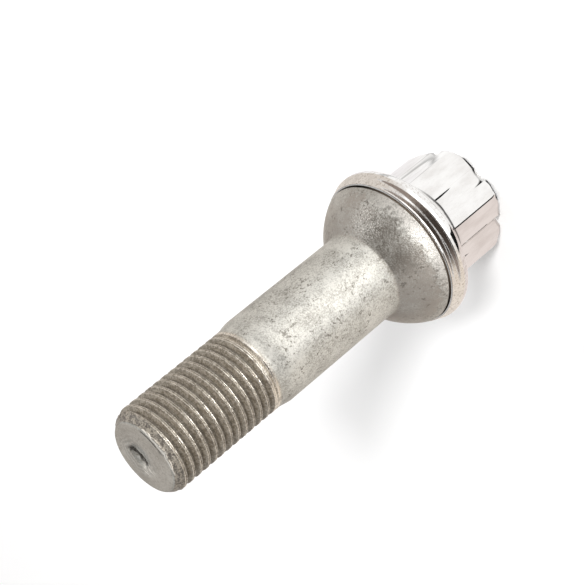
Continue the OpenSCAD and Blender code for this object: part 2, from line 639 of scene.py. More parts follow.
@dataclass
class Forging:
    """The forged bolt: core of the head, ball seat, shank and rolled thread."""

    head: HeadForm
    top_z: float
    thread: RolledThread = RolledThread()
    burr: Burr = Burr()
    dish: Dish = Dish()
    columns: int = 176
    sharp_angle: float = 38.0
    core_middle: float = 0.45
    bend_cut: float = 0.3
    rim_lead: float = 8.0
    rim_points: int = 10
    seam_depth: float = 0.3
    seat_radius: float = 13.5
    seat_edge_diameter: float = 24.5
    seat_edge_height: float = 0.2
    seat_edge_steps: tuple = ((0.08, 0.05), (0.02, 0.12))
    seat_points: int = 34
    seat_fillet: float = 0.6
    fillet_points: int = 6
    shank_diameter: float = 14.6
    shank_points: int = 26
    taper_length: float = 1.9
    taper_lead: float = 0.15
    taper_soft: float = 0.35
    taper_points: int = 9
    tip_chamfer: float = 1.35
    tip_angle: float = 35.0
    tip_round: float = 0.6
    tip_points: int = 8
    face_rings: int = 17
    dish_rings: int = 42
    smallest_ring: float = 0.12
    ring_gap: float = 0.05
    long_chamfer: float = 0.65
    long_azimuth: float = 4.0
    long_spread: float = 48.0
    long_reach: Fade = Fade(3.2, 5.6)
    ridge_height: float = 0.12
    ridge_half: float = 0.26
    ridge_start: Fade = Fade(0.45, 0.8)
    ridge_uneven: float = 0.6
    ridge_ripple: Ripple = Ripple(50.0, 6.0, 5)
    relief_height: float = 0.03
    relief_start: Fade = Fade(0.12, 0.4)
    relief_end: Fade = Fade(2.2, 1.2)
    relief_ripple: Ripple = Ripple(44.0, 12.0, 7)

    @property
    def angles(self) -> np.ndarray:
        """Where the points of each ring lie, in radians."""
        return np.linspace(0.0, 2.0 * math.pi, self.columns, endpoint=False)

    @property
    def off(self) -> float:
        """How far the core lies inside the outside of the cap."""
        return self.head.sheet + self.head.cap_fit

    @property
    def neck_r(self) -> float:
        """Radius of the neck in the seam under the seat."""
        return self.head.skirt_at(self.head.neck_z, self.off) - self.seam_depth

    @property
    def seat_z(self) -> float:
        """Height of the seat's lower face."""
        return self.head.lip_z + self.head.lip_radius + self.head.seam_gap

    @property
    def ball_z(self) -> float:
        """Height of the seat ball's centre."""
        edge_r = self.seat_edge_diameter / 2.0
        return self.seat_z + self.seat_edge_height - math.sqrt(self.seat_radius ** 2 - edge_r ** 2)

    def chamfer_r(self, up: np.ndarray) -> np.ndarray:
        """Radius of the tip's chamfer at a distance above its foot."""
        return self.thread.diameter / 2.0 - up * math.tan(math.radians(self.tip_angle))

    def threaded_r(self, z: np.ndarray) -> np.ndarray:
        """Radius of the thread and the chamfer above it.

        Args:
            z: Height of the surface at each of the ring's angles.

        Returns:
            The radius at each place.
        """
        down, angle = self.top_z - z, self.angles
        ridge = np.exp(-((self.thread.off_crest(down, angle) / self.ridge_half) ** 4))
        ridge = self.ridge_height * ridge * self.ridge_start.at(down)
        length = self.tip_chamfer + self.long_chamfer * beside(angle, self.long_azimuth, self.long_spread)
        cone = self.chamfer_r(length - np.minimum(down, length)) + self.burr.at(angle, down)
        cone = cone + ridge * (1.0 + self.ridge_uneven * self.ridge_ripple.at(angle, z))
        relief = self.relief_height * self.relief_ripple.at(angle, z)
        relief = relief * self.relief_start.at(down) * self.relief_end.at(down)
        return np.minimum(self.thread.radius(z, down, angle), cone + relief)

    def thread_rows(self, low: float, high: float) -> np.ndarray:
        """Rows of points that climb with the thread, cut off level at both ends.

        Args:
            low: Height of the lower end.
            high: Height of the upper end.

        Returns:
            The rows of points.
        """
        pitch = self.thread.pitch
        step = pitch / self.thread.rows_a_pitch
        total = int(math.ceil((high - low + pitch) / step)) + 1
        climb = pitch * np.arange(self.columns) / self.columns
        rows = []
        for i in range(total):
            z = np.clip(low - pitch + i * step + climb, low, high)
            rows.append(ring(self.threaded_r(z), z, self.angles))
        return np.array(rows)

    def core_rings(self) -> list:
        """Rings of the core under the cap, from the end to the neck.

        Returns:
            The rings' points.
        """
        head, off, cut = self.head, self.off, self.bend_cut
        outline = head.outline()
        turn = np.arctan2(outline[:, 1], outline[:, 0])
        order = np.argsort(turn)
        reach = np.hypot(outline[:, 0], outline[:, 1])[order]
        reach = np.interp(self.angles, turn[order], reach, period=2.0 * math.pi)
        bend = head.end_bend(reach) - off
        reach = reach * (head.apothem - off) / head.apothem
        levels = [(self.core_middle, off), (1.0 - bend / head.apothem, off)]
        levels += [(1.0 - cut * bend / head.apothem, off + cut * bend), (1.0, off + bend)]
        rings = [ring(reach * share, z, self.angles) for share, z in levels]
        rings.append(ring(reach, head.dome_z(reach, off), self.angles))
        dome, centre = math.radians(head.dome_angle), (head.rim_centre_r, head.rim_z)
        rim = head.rim_radius - off
        profile = [(centre[0] + rim * math.cos(dome), centre[1] - rim * math.sin(dome))]
        profile += arc(centre, rim, self.rim_lead - head.dome_angle, head.skirt_angle, self.rim_points)
        profile += line(profile[-1], (head.skirt_at(head.neck_z, off), head.neck_z), 2)
        profile.append((self.neck_r, head.neck_z))
        return rings + [ring(r, z, self.angles) for r, z in profile]

    def stem_profile(self) -> list:
        """Turned profile from the neck to the lower end of the thread.

        Returns:
            Points as radius and height.
        """
        edge_r, shank_r = self.seat_edge_diameter / 2.0, self.shank_diameter / 2.0
        fillet_r = shank_r + self.seat_fillet
        fillet_h = math.sqrt((self.seat_radius + self.seat_fillet) ** 2 - fillet_r ** 2)
        turn = math.degrees(math.atan2(fillet_h, fillet_r))
        edge_turn = math.degrees(math.acos(edge_r / self.seat_radius))
        profile = [(self.neck_r, self.seat_z), (edge_r - self.seat_edge_height, self.seat_z)]
        profile += [(edge_r - inwards, self.seat_z + up) for inwards, up in self.seat_edge_steps]
        profile += arc((0.0, self.ball_z), self.seat_radius, edge_turn, turn, self.seat_points)
        profile += arc((fillet_r, self.ball_z + fillet_h), self.seat_fillet, 180.0 + turn, 180.0,
                       self.fillet_points)[1:]
        taper_z, length = self.top_z - self.thread.length, self.taper_length + self.taper_lead
        profile += line(profile[-1], (shank_r, taper_z - length), self.shank_points)
        step, ease = self.thread.diameter / 2.0 - shank_r, Fade(0.0, 1.0)
        for share in np.linspace(0.0, 1.0, self.taper_points)[1:-1]:
            soft = share + self.taper_soft * (ease.at(share) - share)
            profile.append((shank_r + step * soft, taper_z - length * (1.0 - share)))
        return profile

    def tip_rings(self) -> list:
        """Rings over the tip's rounded edge, its flat and the dish in its middle.

        Returns:
            The rings' points.
        """
        lean = math.radians(45.0 - self.tip_angle / 2.0)
        flat_r = self.chamfer_r(self.tip_chamfer) - self.tip_round * math.tan(lean)
        worked_r = self.dish.diameter / 2.0 + self.dish.worked
        profile = arc((flat_r, self.top_z - self.tip_round), self.tip_round, self.tip_angle, 90.0,
                      self.tip_points)[1:]
        radii = list(np.linspace(flat_r, worked_r + self.ring_gap, self.face_rings)[1:])
        radii += list(np.linspace(worked_r - self.ring_gap, self.smallest_ring, self.dish_rings))
        profile += [(r, self.top_z) for r in radii]
        short = self.long_chamfer * math.tan(math.radians(self.tip_angle))
        short = short * beside(self.angles, self.long_azimuth, self.long_spread)
        rings = []
        for r, z in profile:
            made, down = ring(r, z, self.angles), self.top_z - z
            grown = self.burr.at(self.angles, np.full(self.columns, down)) * self.burr.on_face.at(down)
            made[:, :2] *= 1.0 + ((grown - short * self.long_reach.at(r)) / r)[:, None]
            made[:, 2] -= self.burr.crease(self.angles, flat_r - r)
            if r < worked_r:
                made[:, 2] -= np.maximum(self.dish.at(made), 0.0)
            rings.append(made)
        return rings

    def build(self) -> bpy.types.Object:
        """Builds the piece.

        Returns:
            The piece.
        """
        skin = RingSkin()
        core = self.core_rings()
        skin.start((0.0, 0.0, self.off), core[0])
        for points in core[1:]:
            skin.add(points)
        for r, z in self.stem_profile():
            skin.add(ring(r, z, self.angles))
        low = self.top_z - self.thread.length
        edge = self.tip_round * (1.0 - math.sin(math.radians(self.tip_angle)))
        skin.add_helical(self.thread_rows(low, self.top_z - edge), self.thread.rows_a_pitch)
        for points in self.tip_rings():
            skin.add(points)
        sink = self.dish.at(np.zeros((1, 3)))[0]
        return skin.finish((0.0, 0.0, self.top_z - sink), "bolt_forging", self.sharp_angle)

    def dress(self, piece: bpy.types.Object, finish: bpy.types.Material) -> None:
        """Gives the piece its finish and its place in the frame.

        Args:
            piece: The piece.
            finish: Its material.
        """
        piece.data.materials.append(finish)
        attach(piece, "root")
        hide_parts(Node.BOLT.value)


@dataclass
class SheetCap:
    """The drawn cap: grooved hexagon, dome, rolled rim, skirt and crimped lip."""

    head: HeadForm
    sharp_angle: float = 50.0
    face_parts: tuple = (0.35, 0.65, 0.85, 0.95)
    bend_points: int = 11
    wall_points: int = 9
    foot_points: int = 6
    dome_points: int = 8
    rim_points: int = 17
    skirt_points: int = 22
    skirt_sink: float = 0.01
    skirt_waves: float = 1.5
    lip_points: int = 15
    tight_azimuth: float = -92.0
    tight_lift: Fade = Fade(0.35, 0.9, 0.0, 0.1)
    loose_drop: Fade = Fade(0.4, -0.2, 0.0, 0.15)
    skirt_give: Fade = Fade(-1.0, 0.0)
    inner_rim_points: int = 9
    inner_bend_points: int = 7

    def outer_rings(self, outline: np.ndarray) -> list:
        """Rings of the outer skin from the end to the skirt.

        Args:
            outline: The hexagon's outline.

        Returns:
            The rings' points.
        """
        head = self.head
        reach = np.hypot(outline[:, 0], outline[:, 1])
        turn = np.arctan2(outline[:, 1], outline[:, 0])
        bend = head.end_bend(reach)
        inset = bend / head.apothem
        rings = [plate(outline, (1.0 - inset) * part, 0.0) for part in self.face_parts]
        for angle in np.radians(np.linspace(0.0, 90.0, self.bend_points)):
            scale = 1.0 - inset * (1.0 - math.sin(angle))
            rings.append(plate(outline, scale, bend * (1.0 - math.cos(angle))))
        foot_z = head.dome_z(reach, 0.0) - head.foot_radius * math.tan(math.radians(head.dome_angle / 2.0))
        for part in np.linspace(0.0, 1.0, self.wall_points)[1:]:
            rings.append(plate(outline, 1.0, bend + (foot_z - bend) * part))
        for angle in np.radians(np.linspace(0.0, head.dome_angle, self.foot_points)[1:]):
            last_r = reach + head.foot_radius * (1.0 - math.cos(angle))
            last_z = foot_z + head.foot_radius * math.sin(angle)
            rings.append(ring(last_r, last_z, turn))
        rim = arc((head.rim_centre_r, head.rim_z), head.rim_radius, -head.dome_angle, head.skirt_angle,
                  self.rim_points)
        for part in np.linspace(0.0, 1.0, self.dome_points)[1:-1]:
            dome_r = last_r + (rim[0][0] - last_r) * part
            rings.append(ring(dome_r, last_z + (rim[0][1] - last_z) * part, turn))
        return rings + [ring(r, z, turn) for r, z in rim]

    def lip_profile(self) -> list:
        """Profile of the skirt, the rolled lip and the inner skin up to the dome.

        Returns:
            Points as radius and height.
        """
        head = self.head
        centre = (head.skirt_at(head.lip_z, head.sheet / 2.0), head.lip_z)
        lean = math.degrees(math.acos(head.sheet / 2.0 / head.lip_radius))
        waist_z = head.rim_z + head.rim_radius * math.sin(math.radians(head.skirt_angle))
        lip = arc(centre, head.lip_radius, head.skirt_angle - lean, 180.0 + head.skirt_angle + lean,
                  self.lip_points)
        skirt = line((head.skirt_at(waist_z, 0.0), waist_z), lip[0], self.skirt_points)[:-1]
        share = np.arange(1, self.skirt_points) / self.skirt_points
        sink = self.skirt_sink * np.sin(math.pi * self.skirt_waves * share) ** 2
        profile = [(r - d, z) for (r, z), d in zip(skirt, sink)] + lip
        return profile + arc((head.rim_centre_r, head.rim_z), head.rim_radius - head.sheet,
                             head.skirt_angle, -head.dome_angle, self.inner_rim_points)

    def inner_rings(self, outline: np.ndarray) -> list:
        """Rings of the inner skin from the dome back to the end.

        Args:
            outline: The hexagon's outline.

        Returns:
            The rings' points.
        """
        head = self.head
        inner = outline * ((head.apothem - head.sheet) / head.apothem)
        reach = np.hypot(inner[:, 0], inner[:, 1])
        bend = head.end_bend(np.hypot(outline[:, 0], outline[:, 1])) - head.sheet
        rings = [plate(inner, 1.0, head.dome_z(reach, head.sheet))]
        for angle in np.radians(np.linspace(90.0, 0.0, self.inner_bend_points)):
            scale = 1.0 - bend / head.apothem * (1.0 - math.sin(angle))
            rings.append(plate(inner, scale, head.sheet + bend * (1.0 - math.cos(angle))))
        return rings

    def build(self) -> bpy.types.Object:
        """Builds the piece.

        Returns:
            The piece.
        """
        outline = self.head.outline()
        turn = np.arctan2(outline[:, 1], outline[:, 0])
        rings = self.outer_rings(outline)
        facing = np.cos(turn - math.radians(self.tight_azimuth))
        lift = self.tight_lift.at(facing) - self.loose_drop.at(facing)
        for r, z in self.lip_profile():
            rings.append(ring(r, z + lift * self.skirt_give.at(z - self.head.lip_z), turn))
        rings += self.inner_rings(outline)
        skin = RingSkin()
        skin.start((0.0, 0.0, 0.0), rings[0])
        for points in rings[1:]:
            skin.add(points)
        return skin.finish((0.0, 0.0, self.head.sheet), "crimped_sheet_cap", self.sharp_angle)

    def dress(self, piece: bpy.types.Object, finish: bpy.types.Material) -> None:
        """Gives the piece its finish and its place in the frame.

        Args:
            piece: The piece.
            finish: Its material.
        """
        piece.data.materials.append(finish)
        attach(piece, "root")
        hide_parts(Node.HEAD_CAP.value)


@dataclass(frozen=True)
class Grain:
    """Soft noise laid through space.

    scale is in features a metre, detail counts the finer layers, rough is their strength,
    stretch says how much finer it is along each axis, and shift keeps two patterns apart.
    """

    scale: float
    detail: float
    rough: float
    stretch: tuple = (1.0, 1.0, 1.0)
    shift: float = 0.0


@dataclass
class Nodes:
    """A node tree under construction, with short ways to add its nodes."""

    tree: bpy.types.NodeTree
    coordinates: str = "Object"
    noises: dict = field(default_factory=dict)

    @cached_property
    def place(self) -> Socket:
        """Where the shaded point lies, in metres, or its direction in the room."""
        return self.node("ShaderNodeTexCoord").outputs[self.coordinates]

    @cached_property
    def axes(self) -> tuple:
        """The place's x, y and z."""
        return self.split(self.place)

    @cached_property
    def height(self) -> Socket:
        """The place's height."""
        return self.axes[2]

    @cached_property
    def radius(self) -> Socket:
        """The place's distance from the bolt's axis."""
        x, y, _ = self.axes
        return self.math("SQRT", self.plus(self.times(x, x), self.times(y, y)))

    def node(self, kind: str, **values) -> bpy.types.Node:
        """Adds a node and sets its properties.

        Args:
            kind: The node's type.
            **values: Its properties.

        Returns:
            The node.
        """
        made = self.tree.nodes.new(kind)
        for key, value in values.items():
            setattr(made, key, value)
        return made

    def feed(self, source: object, target: Socket) -> None:
        """Links a socket, or sets a plain value.

        Args:
            source: A socket, a number or a colour.
            target: The socket to feed.
        """
        if isinstance(source, Socket):
            self.tree.links.new(source, target)
        else:
            target.default_value = source

    def split(self, vector: Socket) -> tuple:
        """Splits a vector into its three parts."""
        made = self.node("ShaderNodeSeparateXYZ")
        self.feed(vector, made.inputs[0])
        return tuple(made.outputs)

    def math(self, kind: str, first: object, second: object = 0.0) -> Socket:
        """Works out one value from others.

        Args:
            kind: The operation.
            first: The first value.
            second: The second value, for operations that have one.

        Returns:
            The result.
        """
        made = self.node("ShaderNodeMath", operation=kind)
        self.feed(first, made.inputs[0])
        self.feed(second, made.inputs[1])
        return made.outputs[0]

    def times(self, first: object, *others: object) -> Socket:
        """Multiplies values.

        Args:
            first: The first value.
            *others: The values to multiply it by.

        Returns:
            The product.
        """
        for other in others:
            first = self.math("MULTIPLY", first, other)
        return first

    def plus(self, first: object, *others: object) -> Socket:
        """Adds up values.

        Args:
            first: The first value.
            *others: The values to add to it.

        Returns:
            The total.
        """
        for other in others:
            first = self.math("ADD", first, other)
        return first

    def vector(self, kind: str, first: object, second: object = None) -> bpy.types.Node:
        """Adds a vector operation.

        Args:
            kind: The operation.
            first: The first vector.
            second: The second vector, if there is one.

        Returns:
            The node.
        """
        made = self.node("ShaderNodeVectorMath", operation=kind)
        self.feed(first, made.inputs[0])
        if second is not None:
            made.inputs[1].default_value = second
        return made

    def away(self, place: tuple) -> tuple:
        """Measures from a place given in millimetres.

        Args:
            place: The place's x, y and z.

        Returns:
            The vector away from it, and its length.
        """
        vector = self.vector("SUBTRACT", self.place, [v * MM for v in place]).outputs[0]
        return vector, self.vector("LENGTH", vector).outputs["Value"]

    def toward(self, azimuth: float, centre: tuple = (0.0, 0.0)) -> Socket:
        """Measures how far a place lies towards an azimuth, seen from an upright line.

        Args:
            azimuth: The azimuth in degrees.
            centre: Where the line stands, in millimetres; the bolt's axis if not given.

        Returns:
            The angle's cosine: 1 at the azimuth, -1 on the far side.
        """
        turn = math.radians(azimuth)
        moved = self.vector("SUBTRACT", self.place, (centre[0] * MM, centre[1] * MM, 0.0)).outputs[0]
        level = self.vector("MULTIPLY", moved, (1.0, 1.0, 0.0)).outputs[0]
        unit = self.vector("NORMALIZE", level).outputs[0]
        return self.vector("DOT_PRODUCT", unit, (math.cos(turn), math.sin(turn), 0.0)).outputs["Value"]

    def noise(self, grain: Grain) -> Socket:
        """Lays a noise, once in each material.

        Args:
            grain: The noise's sizes.

        Returns:
            The noise, about 0 to 1.
        """
        if grain not in self.noises:
            mapping = self.node("ShaderNodeMapping")
            mapping.inputs["Scale"].default_value = grain.stretch
            mapping.inputs["Location"].default_value = [grain.shift * part for part in SHIFT_PARTS]
            self.feed(self.place, mapping.inputs["Vector"])
            made = self.node("ShaderNodeTexNoise")
            made.inputs["Scale"].default_value = grain.scale
            made.inputs["Detail"].default_value = grain.detail
            made.inputs["Roughness"].default_value = grain.rough
            self.feed(mapping.outputs[0], made.inputs["Vector"])
            self.noises[grain] = made.outputs["Fac"]
        return self.noises[grain]

    def fade(self, source: object, fade: Fade, unit: float = 1.0) -> Socket:
        """Lets a mark come in softly over a range of a value.

        Args:
            source: The value.
            fade: The range, and the strength at its ends.
            unit: Size of one unit of the range.

        Returns:
            The mark's strength.
        """
        made = self.node("ShaderNodeMapRange", interpolation_type="SMOOTHSTEP")
        self.feed(source, made.inputs["Value"])
        made.inputs["From Min"].default_value = fade.low * unit
        made.inputs["From Max"].default_value = fade.high * unit
        made.inputs["To Min"].default_value = fade.start
        made.inputs["To Max"].default_value = fade.end
        return made.outputs["Result"]

    def fade_mm(self, source: object, fade: Fade) -> Socket:
        """Lets a mark come in over a range of places, given in millimetres."""
        return self.fade(source, fade, MM)

    def mix(self, share: object, first: object, second: object) -> Socket:
        """Mixes two colours.

        Args:
            share: Share of the second.
            first: The first colour.
            second: The second colour.

        Returns:
            The mixed colour.
        """
        made = self.node("ShaderNodeMix", data_type="RGBA")
        targets = (made.inputs["Factor"], made.inputs[6], made.inputs[7])
        for source, target in zip((share, first, second), targets):
            self.feed(source, target)
        return made.outputs[2]

    def bump(self, height: object, strength: object, step: float, under: object = None) -> Socket:
        """Adds relief to the surface.

        Args:
            height: The relief's height, 0 to 1.
            strength: Share of the relief that shows.
            step: Height of a full step, in millimetres.
            under: Relief that this one lies on.

        Returns:
            The new normal.
        """
        made = self.node("ShaderNodeBump")
        self.feed(strength, made.inputs["Strength"])
        made.inputs["Distance"].default_value = step * MM
        self.feed(height, made.inputs["Height"])
        if under is not None:
            self.feed(under, made.inputs["Normal"])
        return made.outputs[0]


class Shader(Nodes):
    """A material under construction."""

    def __init__(self, name: str) -> None:
        """Makes an empty material with its shader and output.

        Args:
            name: The material's name.
        """
        self.material = bpy.data.materials.new(name)
        self.material.use_nodes = True
        super().__init__(self.material.node_tree)
        self.tree.nodes.clear()
        self.output = self.node("ShaderNodeOutputMaterial")
        self.surface = self.node("ShaderNodeBsdfPrincipled")
        self.feed(self.surface.outputs[0], self.output.inputs["Surface"])


@dataclass(frozen=True)
class TipPatch:
    """An oblong patch of painted shade over the torn fold, with its reach in millimetres."""

    along: Fade
    across: Fade
    grain: Fade


@dataclass(frozen=True)
class ZincFlakeFinish:
    """Matt grey zinc-flake coating: mottled, pitted, rubbed on the seat and brown in the thread, with painted
    shade, painted highlights and painted glints on the seat, in the seam, in the thread's roots and on the
    tip.

    Fades over places and distances are in millimetres, and one named down counts from the
    tip. One named facing is over the cosine of the angle to an azimuth. The others are over
    the strength of a noise or of another mark.
    """

    bolt: Forging
    light: tuple = (0.515, 0.505, 0.468, 1.0)
    dark: tuple = (0.285, 0.277, 0.252, 1.0)
    stain: tuple = (0.12, 0.108, 0.09, 1.0)
    seat: tuple = (0.355, 0.322, 0.286, 1.0)
    # painted shade: darker colour for the front side of the seat's middle
    seat_front_shade: tuple = (0.15, 0.132, 0.112, 1.0)
    seat_edge: tuple = (0.4, 0.37, 0.335, 1.0)
    # painted highlight: bright colour for the front side of the seat's rim
    rim_wear_and_highlight: tuple = (0.67, 0.645, 0.605, 1.0)
    glint: tuple = (0.8, 0.77, 0.72, 1.0)
    # painted shade in the seam's gap: black at the sides, brown in front
    seam: tuple = (0.05, 0.042, 0.036, 1.0)
    seam_front_shade: tuple = (0.36, 0.29, 0.23, 1.0)
    thread: tuple = (0.2, 0.172, 0.135, 1.0)
    thread_grain: tuple = (0.42, 0.378, 0.315, 1.0)
    crest: tuple = (0.8, 0.76, 0.69, 1.0)
    chamfer: tuple = (0.15, 0.133, 0.115, 1.0)
    face: tuple = (0.5, 0.425, 0.345, 1.0)
    # painted shade: near-black colour for the torn fold and the burr's foot
    crease_shade: tuple = (0.035, 0.03, 0.025, 1.0)

    clouds: Grain = Grain(210.0, 5.0, 0.62)
    grain: Grain = Grain(1500.0, 4.0, 0.65, shift=0.31)
    fine: Grain = Grain(4300.0, 3.0, 0.6, shift=0.77)
    pits: Grain = Grain(2100.0, 4.0, 0.7, (1.0, 1.0, 0.7), 0.11)
    pit_fields: Grain = Grain(330.0, 4.0, 0.7, shift=0.5)
    seat_pit_fields: Grain = Grain(420.0, 4.0, 0.7, shift=0.85)
    glints: Grain = Grain(4600.0, 3.0, 0.7, shift=0.23)
    crest_gaps: Grain = Grain(520.0, 2.0, 0.5, shift=0.63)
    fold_wander: Grain = Grain(900.0, 3.0, 0.6, shift=0.2)
    streaks: Grain = Grain(1500.0, 3.0, 0.6, (0.45, 1.6, 1.0), 0.6)

    grain_share: float = 0.45
    fine_share: float = 1.2
    tone: Fade = Fade(1.08, 1.56)
    pit_field: Fade = Fade(0.4, 0.58)
    pit: Fade = Fade(0.56, 0.61)
    pit_share: float = 0.85

    seat_top: Fade = Fade(24.4, 23.4)
    seat_middle: Fade = Fade(11.9, 11.1)
    seat_rim: Fade = Fade(11.4, 12.0)
    ragged_grain: Fade = Fade(0.3, 0.7, -0.5 * MM, 0.5 * MM)
    ragged_clouds: Fade = Fade(0.35, 0.65, -0.4 * MM, 0.4 * MM)
    seat_cover: Fade = Fade(0.75, 1.25, 1.0, 0.45)
    seat_shade_azimuth: float = -94.0
    seat_shade_facing: Fade = Fade(0.78, 0.98, 0.0, 0.95)
    lit_azimuth: float = -108.0
    highlight_facing: Fade = Fade(0.55, 0.92)
    rim_band_grain: Fade = Fade(0.36, 0.56, 0.2, 0.75)
    edge_share: Fade = Fade(0.0, 1.0, 0.0, 0.6)
    seam_facing: Fade = Fade(0.3, 0.85)
    seam_up: Fade = Fade(0.03, -0.02)
    glint_place: tuple = (4.4, -8.6, 21.6)
    glint_reach: Fade = Fade(4.4, 1.32)
    glint_grain: Fade = Fade(0.47, 0.39, 0.0, 0.8)
    seat_pit_field: Fade = Fade(0.5, 0.6)
    seat_pit_share: float = 0.8
    seat_pit: Fade = Fade(0.53, 0.6, 0.0, 0.85)

    thread_height: Fade = Fade(48.9, 49.6)
    crest_radius: Fade = Fade(6.9, 6.935)
    crest_cover: Fade = Fade(0.66, 0.86, 0.3, 1.0)
    crest_grain_share: float = 0.6
    root_shade_radius: Fade = Fade(6.45, 6.23)
    root_shade_down: Fade = Fade(1.4, 2.2)
    root_shade_share: float = 0.55
    thread_tone: Fade = Fade(0.86, 1.16)
    cone_slope: float = 0.7
    cone_crest: Fade = Fade(0.1, 0.2)
    cone_burr: Fade = Fade(0.02, 0.09)
    edge_radius: Fade = Fade(5.9, 6.1)
    chamfer_down: Fade = Fade(1.5, 1.2)
    chamfer_tone: Fade = Fade(0.88, 1.14)
    face_edge_down: Fade = Fade(0.3, 0.1)
    face_radius: Fade = Fade(4.2, 3.8)
    face_down: Fade = Fade(0.12, 0.04, 0.0, 0.4)
    burr_radius: Fade = Fade(5.9, 6.05)
    burr_down: Fade = Fade(0.7, 0.4)
    burr_shadow_azimuth: float = -91.0
    burr_shadow_facing: Fade = Fade(0.9, 0.96, 0.0, 0.85)
    burr_shadow_grain: Fade = Fade(0.3, 0.7, -0.2 * MM, 0.2 * MM)
    burr_shadow_radius: Fade = Fade(5.62, 5.8)
    burr_shadow_limit: Fade = Fade(6.02, 5.94)
    burr_shadow_down: Fade = Fade(0.3, 0.2)

    tip_down: Fade = Fade(1.3, 1.2)
    fold_edge: Fade = Fade(0.3, 0.7, -0.25 * MM, 0.25 * MM)
    shade: TipPatch = TipPatch(Fade(2.6, 1.56), Fade(1.7, 0.51), Fade(0.35, 0.6, 0.75, 0.25))
    tear_shade: TipPatch = TipPatch(Fade(2.4, 1.44), Fade(0.62, 0.248), Fade(0.3, 0.6, 1.0, 0.8))
    swirl: tuple = (("Scale", 330.0), ("Distortion", 14.0), ("Detail", 3.0), ("Detail Scale", 1.2))
    swirl_reach: Fade = Fade(4.2, 2.2, 0.25, 1.0)
    swirl_dark: Fade = Fade(0.35, 0.1, 0.0, 0.6)
    swirl_light: Fade = Fade(0.68, 0.92, 0.0, 0.55)
    swirl_light_down: Fade = Fade(1.0, 0.15)
    streak_place: tuple = (-2.0, 1.8)
    streak_reach: Fade = Fade(2.1, 0.8, 0.0, 0.9)
    streak: Fade = Fade(0.47, 0.55)

    metal: Fade = Fade(0.0, 1.0, 0.62, 1.0)
    roughness: Fade = Fade(0.3, 0.7, 0.29, 0.5)
    crest_polish: float = 0.2
    cloud_relief: tuple = (0.5, 0.12)
    grain_relief: Fade = Fade(0.0, 1.0, 0.55, 0.12)
    grain_step: float = 0.06
    fine_relief: tuple = (0.7, 0.04)

    def plain(self, s: Shader) -> Socket:
        """Colour of the open coating: clouds, grain and small pits.

        Args:
            s: The material.

        Returns:
            The colour.
        """
        tone = s.plus(s.noise(self.clouds), s.times(s.noise(self.grain), self.grain_share),
                      s.times(s.noise(self.fine), self.fine_share))
        colour = s.mix(s.fade(tone, self.tone), self.dark, self.light)
        field_share = s.fade(s.noise(self.pit_fields), self.pit_field)
        pits = s.times(field_share, s.fade(s.noise(self.pits), self.pit), self.pit_share)
        return s.mix(pits, colour, self.stain)

    def seat_marks(self, s: Shader, colour: Socket) -> Socket:
        """Seat that the wheel has rubbed dull, with painted shade on its front side, and its lighter rim
        under the lip, with a painted highlight on its front side.

        Args:
            s: The material.
            colour: The colour so far.

        Returns:
            The colour with the marks.
        """
        fine, clouds = s.noise(self.fine), s.noise(self.clouds)
        ragged = s.plus(s.radius, s.fade(s.noise(self.grain), self.ragged_grain),
                        s.fade(clouds, self.ragged_clouds))
        on_seat = s.fade_mm(s.height, self.seat_top)
        middle = s.times(on_seat, s.fade_mm(ragged, self.seat_middle),
                         s.fade(s.plus(clouds, fine), self.seat_cover))
        # painted shade: the seat's middle is darker on its front side
        front = s.fade(s.toward(self.seat_shade_azimuth), self.seat_shade_facing)
        colour = s.mix(middle, colour, s.mix(front, self.seat, self.seat_front_shade))
        # rim band: lighter all round, and the zone of the painted highlight in front
        rim_wear_and_highlight = s.times(s.fade_mm(ragged, self.seat_rim), s.fade(fine, self.rim_band_grain))
        colour = s.mix(s.times(on_seat, s.fade(rim_wear_and_highlight, self.edge_share)), colour, self.seat_edge)
        # painted highlight: a bright band on the rim's front side
        front = s.fade(s.toward(self.lit_azimuth), self.highlight_facing)
        return s.mix(s.times(rim_wear_and_highlight, front), colour, self.rim_wear_and_highlight)

    def seat_grains(self, s: Shader, colour: Socket) -> Socket:
        """Pits on the seat, and painted glints of bright grains amid them in one patch.

        Args:
            s: The material.
            colour: The colour so far.

        Returns:
            The colour with the pits and grains.
        """
        near = s.fade_mm(s.away(self.glint_place)[1], self.glint_reach)
        fields = s.fade(s.noise(self.seat_pit_fields), self.seat_pit_field)
        fields = s.times(fields, s.fade_mm(s.height, self.seat_top), self.seat_pit_share)
        pits = s.times(s.math("MAXIMUM", near, fields), s.fade(s.noise(self.pits), self.seat_pit))
        colour = s.mix(pits, colour, self.stain)
        # painted glints: bright grains in one patch near glint_place
        return s.mix(s.times(near, s.fade(s.noise(self.glints), self.glint_grain)), colour, self.glint)

    def painted_seam_shade(self, s: Shader, colour: Socket) -> Socket:
        """Painted shade in the seam below the seat's foot, black at the sides and brown in front.

        Args:
            s: The material.
            colour: The colour so far.

        Returns:
            The colour with the dirt.
        """
        # painted shade: the seam is black, less dark on its front side
        front = s.fade(s.toward(self.lit_azimuth), self.seam_facing)
        up = s.math("SUBTRACT", s.height, self.bolt.seat_z * MM)
        return s.mix(s.fade_mm(up, self.seam_up), colour, s.mix(front, self.seam, self.seam_front_shade))

    def over_cone(self, s: Shader) -> Socket:
        """Height over the tip's chamfer, measured outwards."""
        foot = self.bolt.top_z - self.bolt.tip_chamfer
        cone = (self.bolt.thread.diameter / 2.0 + self.cone_slope * foot) * MM
        return s.math("SUBTRACT", s.plus(s.radius, s.times(s.height, self.cone_slope)), cone)

    def worn_crests(self, s: Shader) -> Socket:
        """Strength of the wear on the thread's crests.

        Args:
            s: The material.

        Returns:
            The strength.
        """
        crest = s.math("MAXIMUM", s.fade_mm(s.radius, self.crest_radius),
                       s.fade_mm(self.over_cone(s), self.cone_crest))
        cover = s.plus(s.noise(self.crest_gaps), s.times(s.noise(self.grain), self.crest_grain_share))
        return s.times(crest, s.fade_mm(s.radius, self.edge_radius), s.fade(cover, self.crest_cover),
                       s.fade_mm(s.height, self.thread_height))

